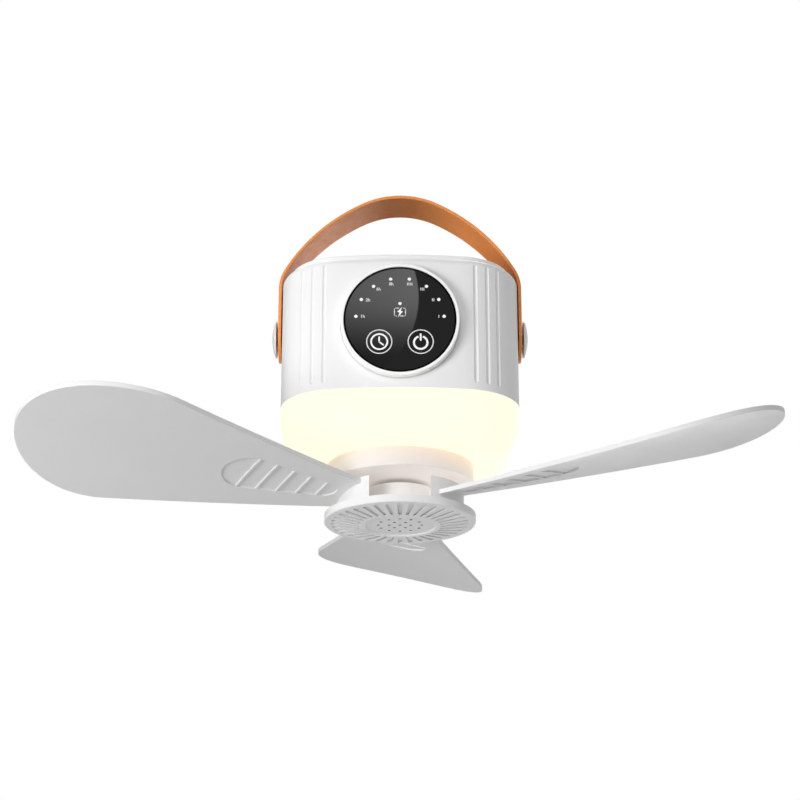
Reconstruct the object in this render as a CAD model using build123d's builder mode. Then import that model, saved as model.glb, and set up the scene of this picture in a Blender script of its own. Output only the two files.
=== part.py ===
from build123d import *
from math import asin, atan2, cos, degrees, radians, sin, sqrt, tan
import os

# Hanging camping fan with a lantern body, in millimetres and degrees.
# +Z is up, -Y is the front with the touch panel, +X runs along the handle's pivot line.
# The origin is the hang point: the underside of the strap handle at the top of its arch.

os.makedirs("parts", exist_ok=True)

# ---------------------------------------------------------------- driving dimensions
# Body plan: crowned front and back, large corner arcs, straight ends
body_half_width = 60.0
body_half_depth = 43.5
body_crown_radius = 230.0
body_corner_radius = 32.5
housing_height = 69.7
housing_wall = 2.2
top_edge_radius = 4.0
cover_edge_height = 2.3
cover_lip_height = 3.0
cover_lip_wall = 1.6
lid_panel_inset = 4.2
lid_panel_height = 2.8
lid_panel_edge = 1.0
fit_gap = 0.15

# Strap handle
strap_width = 24.5
strap_thickness = 1.6
strap_side_gap = 0.5
strap_crown_radius = 43.0
strap_crown_turn = 26.0
strap_flank_turn = 34.0
strap_shoulder_radius = 20.0
strap_leg_length = 23.81
pivot_below_top = 28.1

# Pivot hardware
pivot_pin_radius = 2.8
pivot_fit = 0.05
pivot_boss_radius = 6.5
pivot_boss_length = 5.0
pivot_nut_width = 9.0
pivot_nut_height = 3.4
pivot_cap_radius = 9.5
pivot_cap_gap = 1.1
pivot_cap_edge = 0.7
pivot_cap_height = 2.4

# Front flutes: round-ended grooves on the corner arcs
flute_radius = 1.2
flute_depth = 0.7
flute_first_angle = 18.0
flute_pitch_angle = 11.5
flute_count = 3
flute_bottom_margin = 3.5
flute_top_margin = 3.4

# Touch panel
panel_below_top = 35.36
panel_glass_radius = 27.75
panel_bezel_width = 1.7
panel_bezel_edge = 0.45
panel_stand_out = 3.8
panel_glass_thickness = 2.0
panel_glass_recess = 0.35
bezel_wall_gap = 0.1
bezel_back_thickness = 1.5
bezel_back_opening = 20.0
bezel_flange_width = 0.95
light_guide_thickness = 2.0
touch_board_thickness = 1.6
indicator_circle_share = 0.783
indicator_angles = (12.3, 37.0, 61.6, 86.3)
indicator_size = 2.0
indicator_height = 0.8
charge_dot_height_share = 0.296

# Lantern diffuser
diffuser_height = 27.9
diffuser_straight_height = 5.0
diffuser_bottom_inset = 12.5
diffuser_wall = 2.0
diffuser_lip_height = 3.2
diffuser_lip_wall = 1.2
diffuser_lip_root = 3.0
diffuser_sections = 6

# Light plate, LED board and their fixings
light_plate_thickness = 2.0
light_plate_cable_hole = 8.0
led_board_inset = 6.5
led_board_thickness = 1.2
led_board_hole_radius = 29.0
led_count = 18
led_circle_radius = 33.5
led_size = (2.8, 3.5, 0.8)
corner_boss_radius = 4.5
corner_boss_reach = 26.0
corner_boss_angle = 45.0
corner_boss_height = 12.0
screw_radius = 1.25
screw_hole_radius = 1.3
screw_head_radius = 2.4
screw_head_height = 1.8
screw_length = 9.0

# Battery pack and control board
cell_radius = 9.2
cell_length = 65.0
cell_gap = 0.6
cell_spacing = 2 * cell_radius + cell_gap
cell_pack_y = 3.0
cell_clearance = 0.2
board_bay_height = 12.1
cradle_wall = 2.0
cradle_post_radius = 3.0
cradle_post_spacing = (66.0, 24.0)
cradle_saddle_spacing = 26.0
cradle_saddle_height = 8.0
control_board_size = (44.0, 30.0, 1.6)
control_board_lift = 3.3
standoff_radius = 2.5
standoff_inset = 3.5
usb_size = (8.94, 7.35, 3.26)
usb_wall = 0.35
usb_tongue = (6.7, 4.5, 0.7)
usb_slot_gap = 0.35
usb_mouth_recess = 0.4

# Motor housing: collar below the diffuser, tapered core inside it, bearing tube
collar_radius = 37.0
collar_height = 9.6
collar_floor = 2.2
collar_wall = 2.2
collar_edge_radius = 0.6
diffuser_opening_radius = 34.0
core_spigot_height = 3.5
core_taper_height = 6.0
core_radius = 27.0
core_wall = 1.8
core_boss_radius = 3.0
core_boss_reach = 22.6
core_boss_height = 14.0
bearing_tube_radius = 6.4
bearing_tube_height = 24.0
bearing_radius = 4.5
bearing_height = 4.0
bearing_seat_gap = 0.02
tube_bore_radius = 3.4

# Motor: outer rotor
shaft_radius = 2.0
shaft_fit = 0.03
stator_radius = 14.8
stator_height = 12.0
stator_floor_gap = 5.3
stator_core_radius = 9.0
stator_teeth = 9
tooth_width = 2.6
tooth_tip_width = 7.6
tooth_tip_thickness = 1.4
coil_width = 5.0
coil_overhang = 1.6
coil_fit = 0.06
air_gap = 0.5
magnet_thickness = 1.0
bell_wall = 1.2
bell_top_thickness = 1.6
bell_hub_radius = 5.0
bell_hub_height = 1.6
bell_skirt_overlap = 1.5

# Blade hub and cap
hub_running_gap = 2.6
hub_height = 12.55
hub_boss_radius = 17.0
hub_boss_edge = 0.6
hub_boss_wall = 2.2
hub_column_radius = 5.5
hub_plate_radius = 36.0
hub_plate_thickness = 2.0
hub_nut_width = 7.0
hub_nut_height = 2.4
hub_nut_recess = 4.4
cap_rim_wall = 1.7
cap_radius = hub_plate_radius + fit_gap + cap_rim_wall
cap_rim_height = 3.8
cap_edge_chamfer = 0.4
cap_wall = 1.8
cap_dome_drop = 1.7
cap_ring_radius = 19.4
cap_plate_radius = 17.3
cap_plate_recess = 0.8
cap_shelf_width = 2.5
cap_shelf_radius = hub_plate_radius - cap_shelf_width
cap_groove_count = 36
cap_groove_depth = 0.9
cap_groove_inner_margin = 1.5
cap_groove_inner_reach = cap_ring_radius + cap_groove_inner_margin
cap_groove_inner_radius = 0.8
cap_groove_outer_margin = 4.55
cap_groove_outer_reach = cap_radius - cap_groove_outer_margin
cap_groove_outer_radius = 1.35
vent_hole_radius = 0.8
vent_hole_rings = ((5.4, 6, 0.0), (10.9, 12, 0.0))

# Blades and their root shoes
fan_radius = 199.7
blade_count = 3
blade_first_angle = 90.0
blade_thickness = 2.2
blade_pitch = 12.6
blade_camber_radius = 318.0
blade_rise_radius = 1617.0
blade_root_slope = 1.72
blade_root_radius = 30.6
blade_root_height = 8.05
blade_start_radius = 28.0
blade_tip_radius = 46.8
blade_heel_reach = 17.9
blade_heel_radius = 8.8
shoe_set_in = 4.0
shoe_width = 7.5
shoe_outer_radius = hub_plate_radius - shoe_set_in
shoe_inner_radius = shoe_outer_radius - shoe_width
shoe_wedge_reach = 17.3
shoe_wedge_angle = 60.0
shoe_screw_angle = 20.0
shoe_screw_hole_radius = 1.1
shoe_screw_depth = 6.5
blade_screw_radius = 1.05
blade_screw_head_radius = 2.2
blade_screw_length = 7.5
recess_depth = 0.8
recess_outer_reach = 83.5
recess_outer_radius = 13.6
recess_inner_reach = 42.0
recess_inner_radius = 6.0
rib_first_reach = 44.0
rib_spacing = 10.0
rib_count = 5
rib_width = 1.1

# ---------------------------------------------------------------- derived places
strap_mid_x = body_half_width + strap_side_gap + strap_thickness / 2
strap_shoulder_turn = 90.0 - strap_crown_turn - strap_flank_turn
crown_end = radians(strap_crown_turn)
flank_end = radians(strap_crown_turn + strap_flank_turn)
strap_flank_radius = (
    strap_mid_x - strap_crown_radius * sin(crown_end) - strap_shoulder_radius * (1 - sin(flank_end))
) / (sin(flank_end) - sin(crown_end))
strap_arch_drop = (
    strap_crown_radius * (1 - cos(crown_end))
    + strap_flank_radius * (cos(crown_end) - cos(flank_end))
    + strap_shoulder_radius * cos(flank_end)
)

z_strap_mid = strap_thickness / 2
z_pivot = z_strap_mid - strap_arch_drop - strap_leg_length
z_top = z_pivot + pivot_below_top
z_cover = z_top - cover_edge_height
z_seam = z_top - housing_height
z_panel = z_top - panel_below_top
z_plate = z_seam + diffuser_lip_height
z_plate_top = z_plate + light_plate_thickness
z_diffuser = z_seam - diffuser_height
z_collar = z_diffuser - collar_height
z_floor = z_collar + collar_floor
z_hub = z_collar - hub_running_gap
z_disc = z_hub - hub_height
z_rim = z_disc - cap_rim_height
z_hub_plate = z_disc - hub_plate_thickness

corner_x = body_half_width - body_corner_radius
corner_y = sqrt((body_crown_radius - body_corner_radius) ** 2 - corner_x**2) - (
    body_crown_radius - body_half_depth
)
blade_angles = [blade_first_angle + 360.0 / blade_count * i for i in range(blade_count)]
pivot_plane = Plane(origin=(0, 0, z_pivot), x_dir=(1, 0, 0), z_dir=(0, -1, 0))
panel_plane = Plane(origin=(0, -body_half_depth, z_panel), x_dir=(1, 0, 0), z_dir=(0, -1, 0))


def write(piece, name):
    """Labels a finished piece and writes it to its STEP file."""
    piece.part.label = name
    export_step(piece.part, f"parts/{name}.step")


def body_outline(height, inset=0.0):
    """Sketches the body's plan at a height, drawn inside the outer wall by the inset."""
    a = body_half_width - inset
    b = body_half_depth - inset
    turn = atan2(corner_x, body_crown_radius - body_half_depth + corner_y)
    crown = body_crown_radius - inset
    crown_centre = body_crown_radius - body_half_depth
    end = (crown * sin(turn), crown * cos(turn) - crown_centre)
    with BuildSketch(Plane.XY.offset(height)) as plan:
        with BuildLine():
            ThreePointArc((-end[0], end[1]), (0, b), end)
            TangentArc((a, corner_y), end, tangent=(0, 1))
            TangentArc((-a, corner_y), (-end[0], end[1]), tangent=(0, 1))
            mirror(about=Plane.XZ)
            Line((a, -corner_y), (a, corner_y))
            Line((-a, -corner_y), (-a, corner_y))
        make_face()
    return plan.sketch


def corner_spots(reach, angle):
    """Centres of four features placed round the body's corner arcs, at a reach from the arcs' centres."""
    dx = reach * cos(radians(angle))
    dy = reach * sin(radians(angle))
    return [(sx * (corner_x + dx), sy * (corner_y + dy)) for sx in (1, -1) for sy in (1, -1)]


def arch_outline(outward):
    """Sketches the area under the strap's arch, with the strap's mid line moved outward."""
    with BuildSketch(Plane.XZ) as area:
        with BuildLine():
            crown = JernArc(
                start=(0, z_strap_mid + outward),
                tangent=(1, 0),
                radius=strap_crown_radius + outward,
                arc_size=-strap_crown_turn,
            )
            flank = JernArc(
                start=crown @ 1,
                tangent=crown % 1,
                radius=strap_flank_radius + outward,
                arc_size=-strap_flank_turn,
            )
            shoulder = JernArc(
                start=flank @ 1,
                tangent=flank % 1,
                radius=strap_shoulder_radius + outward,
                arc_size=-strap_shoulder_turn,
            )
            leg = Line(shoulder @ 1, ((shoulder @ 1).X, z_pivot))
            mirror(about=Plane.YZ)
            Line(leg @ 1, (-(leg @ 1).X, z_pivot))
        make_face()
    return area.sketch


def ring_plan(inner, outer, height):
    """Sketches a plain ring round the fan axis at a height."""
    with BuildSketch(Plane.XY.offset(height)) as plan:
        Circle(outer)
        Circle(inner, mode=Mode.SUBTRACT)
    return plan.sketch


# ---------------------------------------------------------------- strap handle
# One leather strap bent into an arch, with round ends on the pivot pins.
with BuildPart() as handle_strap:
    extrude(arch_outline(strap_thickness / 2), amount=strap_width / 2, both=True)
    extrude(
        arch_outline(-strap_thickness / 2), amount=strap_width, both=True, mode=Mode.SUBTRACT
    )
    for side in (1, -1):
        with BuildSketch(Plane.YZ.offset(side * strap_mid_x)):
            with Locations((0, z_pivot)):
                Circle(strap_width / 2)
        extrude(amount=strap_thickness / 2, both=True)
    with BuildSketch(Plane.YZ):
        with Locations((0, z_pivot)):
            Circle(pivot_pin_radius + pivot_fit)
    extrude(amount=strap_mid_x + strap_thickness, both=True, mode=Mode.SUBTRACT)
write(handle_strap, "handle_strap")

# ---------------------------------------------------------------- pivot hardware
x_wall = body_half_width - housing_wall
x_boss = x_wall - pivot_boss_length
x_cap = strap_mid_x + strap_thickness / 2 + pivot_cap_gap
x_pin_end = x_cap + pivot_cap_height / 2

# Steel shoulder pins through the strap's ends and the housing's side bosses
with BuildPart() as pivot_pins:
    for side in (1, -1):
        with BuildSketch(Plane.YZ.offset(side * (x_boss - pivot_nut_height - 1))):
            with Locations((0, z_pivot)):
                Circle(pivot_pin_radius)
        extrude(amount=side * (x_pin_end - x_boss + pivot_nut_height + 1))
write(pivot_pins, "pivot_pins")

# Hexagon nuts that hold the pins against the inner bosses
with BuildPart() as pivot_nuts:
    for side in (1, -1):
        with BuildSketch(Plane.YZ.offset(side * x_boss)):
            with Locations((0, z_pivot)):
                RegularPolygon(pivot_nut_width / 2, 6, major_radius=False)
                Circle(pivot_pin_radius + pivot_fit, mode=Mode.SUBTRACT)
        extrude(amount=-side * pivot_nut_height)
write(pivot_nuts, "pivot_nuts")

# Domed white caps on the pins' outer ends
with BuildPart() as pivot_caps:
    with BuildSketch(pivot_plane):
        with BuildLine():
            Polyline(
                (x_cap, 0), (x_cap, pivot_cap_radius), (x_cap + pivot_cap_edge, pivot_cap_radius)
            )
            dome = TangentArc(
                (x_cap + pivot_cap_height, 0),
                (x_cap + pivot_cap_edge, pivot_cap_radius),
                tangent=(0, 1),
            )
            Line(dome @ 0, (x_cap, 0))
        make_face()
    revolve(axis=Axis((0, 0, z_pivot), (1, 0, 0)))
    with BuildSketch(Plane.YZ.offset(x_cap)):
        with Locations((0, z_pivot)):
            Circle(pivot_pin_radius + pivot_fit)
    extrude(amount=x_pin_end - x_cap, mode=Mode.SUBTRACT)
    mirror(about=Plane.YZ)
write(pivot_caps, "pivot_caps")

# ---------------------------------------------------------------- housing shell
bezel_radius = panel_glass_radius + panel_bezel_width
y_usb_mouth = body_half_depth - usb_mouth_recess
z_board_top = z_plate_top + control_board_lift + control_board_size[2]
z_usb = z_board_top + usb_size[2] / 2

with BuildPart() as housing_shell:
    extrude(body_outline(z_seam), amount=housing_height)
    fillet(housing_shell.edges().group_by(Axis.Z)[-1], top_edge_radius)
    split(bisect_by=Plane.XY.offset(z_cover), keep=Keep.BOTTOM)
    extrude(body_outline(z_seam, housing_wall), amount=z_cover - z_seam, mode=Mode.SUBTRACT)

    # Corner bosses that take the light plate's screws
    with BuildSketch(Plane.XY.offset(z_plate_top)):
        with Locations(corner_spots(corner_boss_reach, corner_boss_angle)):
            Circle(corner_boss_radius)
            Circle(screw_hole_radius, mode=Mode.SUBTRACT)
    extrude(amount=corner_boss_height)

    # Side bosses and holes for the pivot pins
    for side in (1, -1):
        with BuildSketch(Plane.YZ.offset(side * x_boss)):
            with Locations((0, z_pivot)):
                Circle(pivot_boss_radius)
        extrude(amount=side * (pivot_boss_length + housing_wall / 2))
    with BuildSketch(Plane.YZ):
        with Locations((0, z_pivot)):
            Circle(pivot_pin_radius + pivot_fit)
    extrude(amount=body_half_width, both=True, mode=Mode.SUBTRACT)

    # Round opening for the touch panel
    with BuildSketch(panel_plane):
        Circle(bezel_radius + bezel_wall_gap)
    extrude(amount=-body_half_depth / 2, mode=Mode.SUBTRACT)

    # Slot for the charging socket in the back wall
    with BuildSketch(Plane(origin=(0, body_half_depth, z_usb), x_dir=(-1, 0, 0), z_dir=(0, 1, 0))):
        RectangleRounded(
            usb_size[0] + 2 * usb_slot_gap,
            usb_size[2] + 2 * usb_slot_gap,
            usb_size[2] / 2 + usb_slot_gap - 0.01,
        )
    extrude(amount=-2 * housing_wall, mode=Mode.SUBTRACT)

    # Flutes down the front corners
    flute_reach = body_corner_radius + flute_radius - flute_depth
    flute_length = housing_height - flute_bottom_margin - flute_top_margin - 2 * flute_radius
    for side in (1, -1):
        for i in range(flute_count):
            angle = radians(flute_first_angle + i * flute_pitch_angle)
            spot = (
                side * (corner_x + flute_reach * sin(angle)),
                -corner_y - flute_reach * cos(angle),
                z_seam + flute_bottom_margin + flute_radius,
            )
            with Locations(spot):
                Cylinder(
                    flute_radius,
                    flute_length,
                    align=(Align.CENTER, Align.CENTER, Align.MIN),
                    mode=Mode.SUBTRACT,
                )
            with Locations(spot, (spot[0], spot[1], spot[2] + flute_length)):
                Sphere(flute_radius, mode=Mode.SUBTRACT)
write(housing_shell, "housing_shell")

# ---------------------------------------------------------------- top cover
# Lid that carries the upper part of the rounded top edge, a raised panel on top and a lip
# inside the housing
with BuildPart() as top_cover:
    extrude(body_outline(z_seam), amount=housing_height)
    fillet(top_cover.edges().group_by(Axis.Z)[-1], top_edge_radius)
    split(bisect_by=Plane.XY.offset(z_cover), keep=Keep.TOP)
    extrude(body_outline(z_top, lid_panel_inset), amount=lid_panel_height)
    fillet(top_cover.edges().group_by(Axis.Z)[-1], lid_panel_edge)
    lip_inset = housing_wall + fit_gap
    z_lip = z_cover - cover_lip_height
    extrude(body_outline(z_lip, lip_inset), amount=cover_lip_height)
    extrude(
        body_outline(z_lip, lip_inset + cover_lip_wall), amount=cover_lip_height, mode=Mode.SUBTRACT
    )
write(top_cover, "top_cover")

# ---------------------------------------------------------------- touch panel
y_panel_front = -body_half_depth - panel_stand_out
y_glass_front = y_panel_front + panel_glass_recess
y_glass_back = y_glass_front + panel_glass_thickness
y_guide_back = y_glass_back + light_guide_thickness
flange_radius = bezel_radius + bezel_flange_width
inner_crown = body_crown_radius - housing_wall
flange_sag = inner_crown - sqrt(inner_crown**2 - flange_radius**2)
y_flange = -body_half_depth + housing_wall + flange_sag
y_bezel_back = y_flange + bezel_back_thickness
y_board_back = y_flange
y_board_front = y_board_back - touch_board_thickness


def front_plane(y):
    """Plane facing the front, centred on the touch panel, at a depth y."""
    return Plane(origin=(0, y, z_panel), x_dir=(1, 0, 0), z_dir=(0, -1, 0))


indicator_radius = indicator_circle_share * panel_glass_radius
indicator_spots = [(0, charge_dot_height_share * panel_glass_radius)]
for side in (1, -1):
    for tilt in indicator_angles:
        indicator_spots.append(
            (side * indicator_radius * sin(radians(tilt)), indicator_radius * cos(radians(tilt)))
        )

# Cup that carries the glass, light guide and touch board, with a flange behind the wall
with BuildPart() as panel_bezel:
    with BuildSketch(front_plane(y_bezel_back)):
        Circle(bezel_radius)
    extrude(amount=y_bezel_back - y_panel_front)
    rim = panel_bezel.edges().filter_by(GeomType.CIRCLE).sort_by(Axis.Y)[0]
    fillet(rim, panel_bezel_edge)
    with BuildSketch(front_plane(y_board_back)):
        Circle(panel_glass_radius + bezel_wall_gap)
    extrude(amount=y_board_back - y_panel_front, mode=Mode.SUBTRACT)
    with BuildSketch(front_plane(y_bezel_back)):
        Circle(bezel_back_opening)
    extrude(amount=bezel_back_thickness, mode=Mode.SUBTRACT)
    with BuildSketch(front_plane(y_bezel_back)):
        Circle(flange_radius)
        Circle(bezel_radius - bezel_wall_gap, mode=Mode.SUBTRACT)
    extrude(amount=bezel_back_thickness)
write(panel_bezel, "panel_bezel")

with BuildPart() as panel_glass:
    with BuildSketch(front_plane(y_glass_back)):
        Circle(panel_glass_radius)
    extrude(amount=panel_glass_thickness)
    chamfer(panel_glass.edges().sort_by(Axis.Y)[0], 0.3)
write(panel_glass, "panel_glass")

# Clear guide with a short post over each indicator
with BuildPart() as light_guide:
    with BuildSketch(front_plane(y_guide_back)):
        Circle(panel_glass_radius - bezel_wall_gap)
    extrude(amount=light_guide_thickness)
    with BuildSketch(front_plane(y_guide_back)):
        with Locations(indicator_spots):
            Circle(indicator_size / 2)
    extrude(amount=-(y_board_front - indicator_height - y_guide_back))
write(light_guide, "light_guide")

with BuildPart() as indicator_leds:
    with BuildSketch(front_plane(y_board_front)):
        with Locations(indicator_spots):
            Rectangle(indicator_size, indicator_size)
    extrude(amount=indicator_height)
write(indicator_leds, "indicator_leds")

with BuildPart() as touch_board:
    with BuildSketch(front_plane(y_board_back)):
        Circle(panel_glass_radius - bezel_wall_gap)
    extrude(amount=touch_board_thickness)
write(touch_board, "touch_board")

# ---------------------------------------------------------------- battery and control board
z_cradle_floor = z_plate_top + board_bay_height
z_pack = z_cradle_floor + cradle_wall + cell_clearance + cell_radius + cell_spacing / 2
cell_spots = [
    (cell_pack_y + sy * cell_spacing / 2, z_pack + sz * cell_spacing / 2)
    for sy in (1, -1)
    for sz in (1, -1)
]
z_cradle_top = z_pack - cell_spacing / 2 - cell_radius - cell_clearance
cradle_half_depth = cell_spacing / 2 + cell_radius + cell_clearance + cradle_wall

with BuildPart() as battery_cells:
    with BuildSketch(Plane.YZ.offset(-cell_length / 2)):
        with Locations(cell_spots):
            Circle(cell_radius)
    extrude(amount=cell_length)
    chamfer(battery_cells.edges().filter_by(GeomType.CIRCLE), 0.5)
write(battery_cells, "battery_cells")

# Tray with saddles round the lower cells, end stops, and posts down to the light plate
with BuildPart() as battery_cradle:
    with BuildSketch(Plane.YZ):
        with Locations((cell_pack_y, z_cradle_top)):
            Rectangle(
                2 * cradle_half_depth, cradle_saddle_height, align=(Align.CENTER, Align.MIN)
            )
        with Locations(cell_spots):
            Circle(cell_radius + cell_clearance, mode=Mode.SUBTRACT)
    extrude(amount=cradle_saddle_spacing / 2 + cradle_wall / 2, both=True)
    with BuildSketch(Plane.YZ):
        with Locations((cell_pack_y, z_cradle_top)):
            Rectangle(
                2 * cradle_half_depth, cradle_saddle_height, align=(Align.CENTER, Align.MIN)
            )
    extrude(
        amount=cradle_saddle_spacing / 2 - cradle_wall / 2, both=True, mode=Mode.SUBTRACT
    )
    cradle_length = cell_length + 2 * cell_clearance + 2 * cradle_wall
    with Locations((0, cell_pack_y, z_cradle_top)):
        Box(
            cradle_length,
            2 * cradle_half_depth,
            cradle_wall,
            align=(Align.CENTER, Align.CENTER, Align.MAX),
        )
    for side in (1, -1):
        with Locations((side * (cradle_length / 2 - cradle_wall / 2), cell_pack_y, z_cradle_top)):
            Box(
                cradle_wall,
                2 * cradle_half_depth,
                cradle_saddle_height,
                align=(Align.CENTER, Align.CENTER, Align.MIN),
            )
    post_x, post_y = cradle_post_spacing
    with Locations((0, cell_pack_y, z_plate_top)):
        with GridLocations(post_x - 2 * cradle_post_radius, post_y, 2, 2):
            Cylinder(
                cradle_post_radius,
                z_cradle_top - cradle_wall - z_plate_top,
                align=(Align.CENTER, Align.CENTER, Align.MIN),
            )
write(battery_cradle, "battery_cradle")

board_length, board_depth, board_thickness = control_board_size
y_board_edge = y_usb_mouth - usb_size[1] + 2.5
y_board_centre = y_board_edge - board_depth / 2
standoff_spacing = (board_length - 2 * standoff_inset, board_depth - 2 * standoff_inset)

with BuildPart() as control_board:
    with Locations((0, y_board_centre, z_plate_top + control_board_lift)):
        Box(
            board_length,
            board_depth,
            board_thickness,
            align=(Align.CENTER, Align.CENTER, Align.MIN),
        )
write(control_board, "control_board")

# Charging socket: rounded metal shell with a contact tongue, mouth at the back wall
with BuildPart() as usb_socket:
    mouth = Plane(origin=(0, y_usb_mouth, z_usb), x_dir=(-1, 0, 0), z_dir=(0, 1, 0))
    with BuildSketch(mouth):
        RectangleRounded(usb_size[0], usb_size[2], usb_size[2] / 2 - 0.01)
    extrude(amount=-usb_size[1])
    with BuildSketch(mouth):
        RectangleRounded(
            usb_size[0] - 2 * usb_wall, usb_size[2] - 2 * usb_wall, usb_size[2] / 2 - usb_wall - 0.01
        )
    extrude(amount=-(usb_size[1] - 1.0), mode=Mode.SUBTRACT)
    with BuildSketch(mouth.offset(-usb_size[1])):
        Rectangle(usb_tongue[0], usb_tongue[2])
    extrude(amount=usb_tongue[1] + 1.0)
write(usb_socket, "usb_socket")

# ---------------------------------------------------------------- light plate and LEDs
plate_inset = housing_wall + fit_gap
core_boss_spots = [
    (core_boss_reach * cos(radians(a)), core_boss_reach * sin(radians(a))) for a in blade_angles
]

with BuildPart() as light_plate:
    extrude(body_outline(z_plate, plate_inset), amount=light_plate_thickness)
    with Locations((0, y_board_centre, z_plate_top)):
        with GridLocations(*standoff_spacing, 2, 2):
            Cylinder(
                standoff_radius, control_board_lift, align=(Align.CENTER, Align.CENTER, Align.MIN)
            )
    with BuildSketch(Plane.XY.offset(z_plate)):
        Circle(light_plate_cable_hole)
        with Locations(corner_spots(corner_boss_reach, corner_boss_angle), core_boss_spots):
            Circle(screw_hole_radius)
    extrude(amount=light_plate_thickness, mode=Mode.SUBTRACT)
    with BuildSketch(front_plane(y_bezel_back + bezel_wall_gap)):
        Circle(flange_radius + bezel_wall_gap)
    extrude(amount=body_half_depth / 2, mode=Mode.SUBTRACT)
write(light_plate, "light_plate")


def pan_screws(spots, height, up):
    """Pan-head screws with the heads' seats at a height and the shanks running up or down."""
    tilt = 0 if up else 180
    align = (Align.CENTER, Align.CENTER, Align.MIN)
    with Locations(*[Location((x, y, height), (tilt, 0, 0)) for x, y in spots]):
        Cylinder(screw_radius, screw_length, align=align)
    with Locations(*[Location((x, y, height), (180 - tilt, 0, 0)) for x, y in spots]):
        Cylinder(screw_head_radius, screw_head_height, align=align)


# Screws that hold the light plate to the housing, heads below
with BuildPart() as plate_screws:
    pan_screws(corner_spots(corner_boss_reach, corner_boss_angle), z_plate, up=True)
write(plate_screws, "plate_screws")

# Screws that hold the motor housing below the light plate, heads above
with BuildPart() as motor_screws:
    pan_screws(core_boss_spots, z_plate_top, up=False)
write(motor_screws, "motor_screws")

with BuildPart() as led_board:
    extrude(body_outline(z_plate, led_board_inset), amount=-led_board_thickness)
    with BuildSketch(Plane.XY.offset(z_plate)):
        Circle(led_board_hole_radius)
        with Locations(corner_spots(corner_boss_reach, corner_boss_angle)):
            Circle(screw_head_radius + 0.6)
    extrude(amount=-led_board_thickness, mode=Mode.SUBTRACT)
write(led_board, "led_board")

with BuildPart() as led_chips:
    with BuildSketch(Plane.XY.offset(z_plate - led_board_thickness)):
        with PolarLocations(led_circle_radius, led_count):
            Rectangle(led_size[0], led_size[1])
    extrude(amount=-led_size[2])
write(led_chips, "led_chips")


# ---------------------------------------------------------------- diffuser
def lantern_plans(inset, bottom):
    """Plans down the lantern's curved part, whose wall turns in as a quarter of an ellipse."""
    z_bend = z_seam - diffuser_straight_height
    plans = []
    for i in range(diffuser_sections + 1):
        turn = radians(90.0 * i / diffuser_sections)
        height = z_bend - (z_bend - bottom) * sin(turn)
        plans.append(body_outline(height, inset + diffuser_bottom_inset * (1 - cos(turn))))
    return plans


with BuildPart() as diffuser_hollow:
    extrude(body_outline(z_seam, diffuser_wall), amount=-diffuser_straight_height)
    loft(lantern_plans(diffuser_wall, z_diffuser + diffuser_wall))

# Bowl with a joining lip inside the housing and a round opening for the motor housing
with BuildPart() as diffuser:
    extrude(body_outline(z_seam), amount=-diffuser_straight_height)
    loft(lantern_plans(0.0, z_diffuser))
    add(diffuser_hollow.part, mode=Mode.SUBTRACT)
    lip_inset = housing_wall + fit_gap
    z_lip = z_seam - diffuser_lip_root
    extrude(body_outline(z_seam, diffuser_wall / 2), amount=-diffuser_lip_root)
    extrude(body_outline(z_seam, lip_inset), amount=diffuser_lip_height)
    extrude(
        body_outline(z_lip, lip_inset + diffuser_lip_wall),
        amount=diffuser_lip_root + diffuser_lip_height,
        mode=Mode.SUBTRACT,
    )
    with BuildSketch(Plane.XY.offset(z_diffuser)):
        Circle(diffuser_opening_radius)
    extrude(amount=2 * diffuser_wall, mode=Mode.SUBTRACT)
    split(bisect_by=Plane.XY.offset(z_diffuser), keep=Keep.TOP)
write(diffuser, "diffuser")

# ---------------------------------------------------------------- motor housing
spigot_radius = diffuser_opening_radius - fit_gap
z_spigot = z_diffuser + core_spigot_height
z_taper = z_diffuser + core_taper_height
z_tube = z_collar + bearing_tube_height
bearing_seat = bearing_radius + bearing_seat_gap
bearing_pocket = bearing_height + 0.2

with BuildPart() as motor_housing:
    with BuildSketch(Plane.XZ):
        with BuildLine():
            Polyline(
                (bearing_seat, z_collar),
                (collar_radius, z_collar),
                (collar_radius, z_diffuser),
                (spigot_radius, z_diffuser),
                (spigot_radius, z_spigot),
                (core_radius, z_taper),
                (core_radius, z_plate),
                (core_radius - core_wall, z_plate),
                (core_radius - core_wall, z_taper - core_wall / 2),
                (spigot_radius - collar_wall, z_spigot - core_wall / 2),
                (spigot_radius - collar_wall, z_floor),
                (bearing_tube_radius, z_floor),
                (bearing_tube_radius, z_tube),
                (bearing_seat, z_tube),
                (bearing_seat, z_tube - bearing_pocket),
                (tube_bore_radius, z_tube - bearing_pocket),
                (tube_bore_radius, z_collar + bearing_pocket),
                (bearing_seat, z_collar + bearing_pocket),
                close=True,
            )
        make_face()
    revolve(axis=Axis.Z)
    lower_edge = motor_housing.edges().filter_by(GeomType.CIRCLE).group_by(Axis.Z)[0]
    fillet(lower_edge.sort_by(SortBy.RADIUS)[-1], collar_edge_radius)
    with BuildSketch(Plane.XY.offset(z_plate)):
        with Locations(core_boss_spots):
            Circle(core_boss_radius)
            Circle(screw_hole_radius, mode=Mode.SUBTRACT)
    extrude(amount=-core_boss_height)
write(motor_housing, "motor_housing")


with BuildPart() as shaft_bearings:
    for low in (z_collar + bearing_pocket - bearing_height, z_tube - bearing_pocket):
        extrude(ring_plan(shaft_radius + shaft_fit, bearing_radius, low), amount=bearing_height)
write(shaft_bearings, "shaft_bearings")

# ---------------------------------------------------------------- motor stator
z_stator = z_floor + stator_floor_gap
tooth_root = stator_core_radius - 0.5
tooth_length = stator_radius - tooth_tip_thickness - tooth_root + 0.4

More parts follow.
